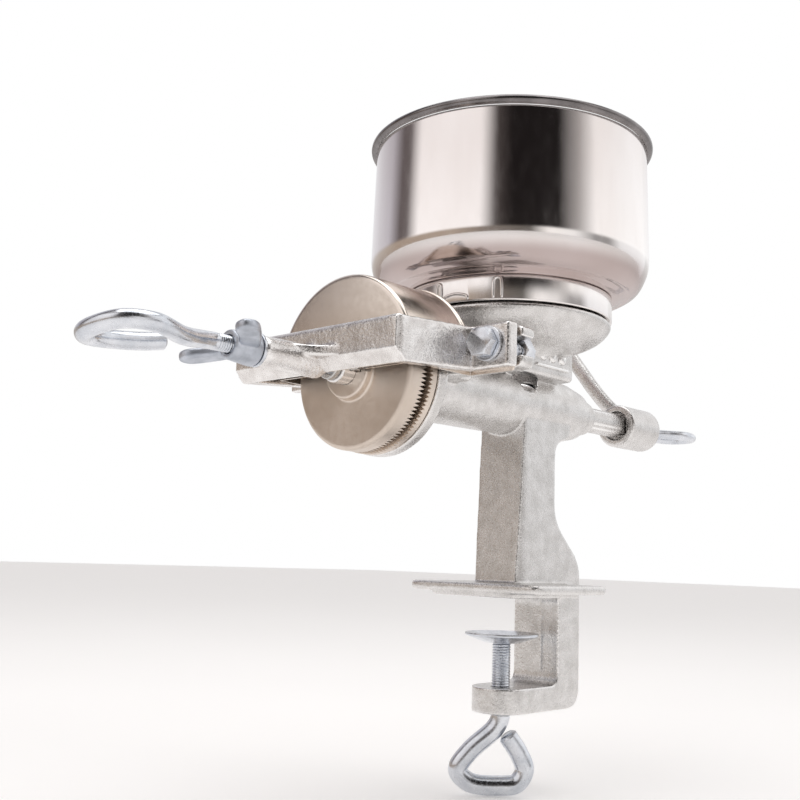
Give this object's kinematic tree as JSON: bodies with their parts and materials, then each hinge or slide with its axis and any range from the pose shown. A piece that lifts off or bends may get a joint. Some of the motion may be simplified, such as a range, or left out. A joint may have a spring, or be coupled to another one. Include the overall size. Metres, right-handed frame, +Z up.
{
  "type": "grain mill",
  "caption": "Hand-cranked burr mill with a sheet-metal hopper, an adjustable pair of burrs under a hood, and a C-clamp foot for a table edge.",
  "frame": {"origin": "on the foot's table face, straight under the hopper's axis", "axes": "+Z up along the hopper's axis, +X along the grinding shaft towards the crank"},
  "size_m": [0.5038, 0.1896, 0.3754],
  "materials": {
    "tinned_casting": "hot-tinned sand casting, satin silver with a fine bumpy skin",
    "bright_sheet": "bright tinned sheet steel, softly polished",
    "ground_iron": "ground and tinned face, smooth satin",
    "zinc_steel": "bright zinc plating with a slight blue cast",
    "plain_steel": "plain turned steel",
    "turned_wood": "turned hardwood under clear lacquer"
  },
  "bodies": {
    "frame": {"mill_body": "tinned_casting", "clamp_post": "tinned_casting", "burr_guard": "bright_sheet", "fixed_burr": "ground_iron", "burr_screw_upper": "plain_steel", "burr_screw_lower": "plain_steel", "yoke": "tinned_casting", "yoke_bolt_near": "zinc_steel", "yoke_washer_near": "zinc_steel", "yoke_nut_near": "zinc_steel", "yoke_bolt_far": "zinc_steel", "yoke_washer_far": "zinc_steel", "yoke_nut_far": "zinc_steel"},
    "hopper": {"hopper_bowl": "bright_sheet", "hopper_collar": "bright_sheet"},
    "thrust": {"thrust_pad": "plain_steel"},
    "rotor": {"feed_auger": "tinned_casting", "turning_burr": "ground_iron", "drive_pin": "plain_steel", "crank_arm": "tinned_casting", "crank_washer": "zinc_steel", "crank_screw": "zinc_steel", "grip_pin": "zinc_steel", "grip_nut": "zinc_steel"},
    "grip": {"grip_handle": "turned_wood"},
    "adjuster": {"adjusting_screw": "zinc_steel"},
    "washer": {"lock_washer": "zinc_steel"},
    "wing_nut": {"wing_nut": "zinc_steel"},
    "pad": {"clamp_pad": "zinc_steel"},
    "clamp_screw": {"clamp_screw": "zinc_steel"}
  },
  "joints": [
    {"name": "hopper_lift", "type": "slide", "parent": "frame", "child": "hopper", "axis": [0, 0, 1], "range_m": [0, 0.06]},
    {"name": "burr_gap", "type": "slide", "parent": "frame", "child": "thrust", "axis": [-1, 0, 0], "range_m": [-0.001, 0.004]},
    {"name": "adjusting_turn", "type": "hinge", "parent": "thrust", "child": "adjuster", "pos_m": [-0.17, 0, 0.112], "axis": [-1, 0, 0], "range_deg": [-280, 1140]},
    {"name": "crank_turn", "type": "hinge", "parent": "thrust", "child": "rotor", "pos_m": [0, 0, 0.112], "axis": [1, 0, 0], "continuous": true},
    {"name": "grip_spin", "type": "hinge", "parent": "rotor", "child": "grip", "pos_m": [0.17, 0.092, 0.22], "axis": [1, 0, 0], "continuous": true},
    {"name": "lock_travel", "type": "slide", "parent": "frame", "child": "washer", "axis": [-1, 0, 0], "range_m": [0, 0.005]},
    {"name": "wing_nut_turn", "type": "hinge", "parent": "washer", "child": "wing_nut", "pos_m": [-0.195, 0, 0.112], "axis": [-1, 0, 0], "range_deg": [0, 1430]},
    {"name": "clamp_travel", "type": "slide", "parent": "frame", "child": "pad", "axis": [0, 0, 1], "range_m": [-0.022, 0.0022]},
    {"name": "clamp_turn", "type": "hinge", "parent": "pad", "child": "clamp_screw", "pos_m": [0, 0, -0.045], "axis": [0, 0, 1], "range_deg": [-5270, 520]}
  ],
  "couplings": [
    {"joint": "burr_gap", "follows": "adjusting_turn", "m_per_rad": 0.00019894},
    {"joint": "lock_travel", "follows": "wing_nut_turn", "m_per_rad": 0.00019894},
    {"joint": "clamp_travel", "follows": "clamp_turn", "m_per_rad": 0.00023873}
  ]
}
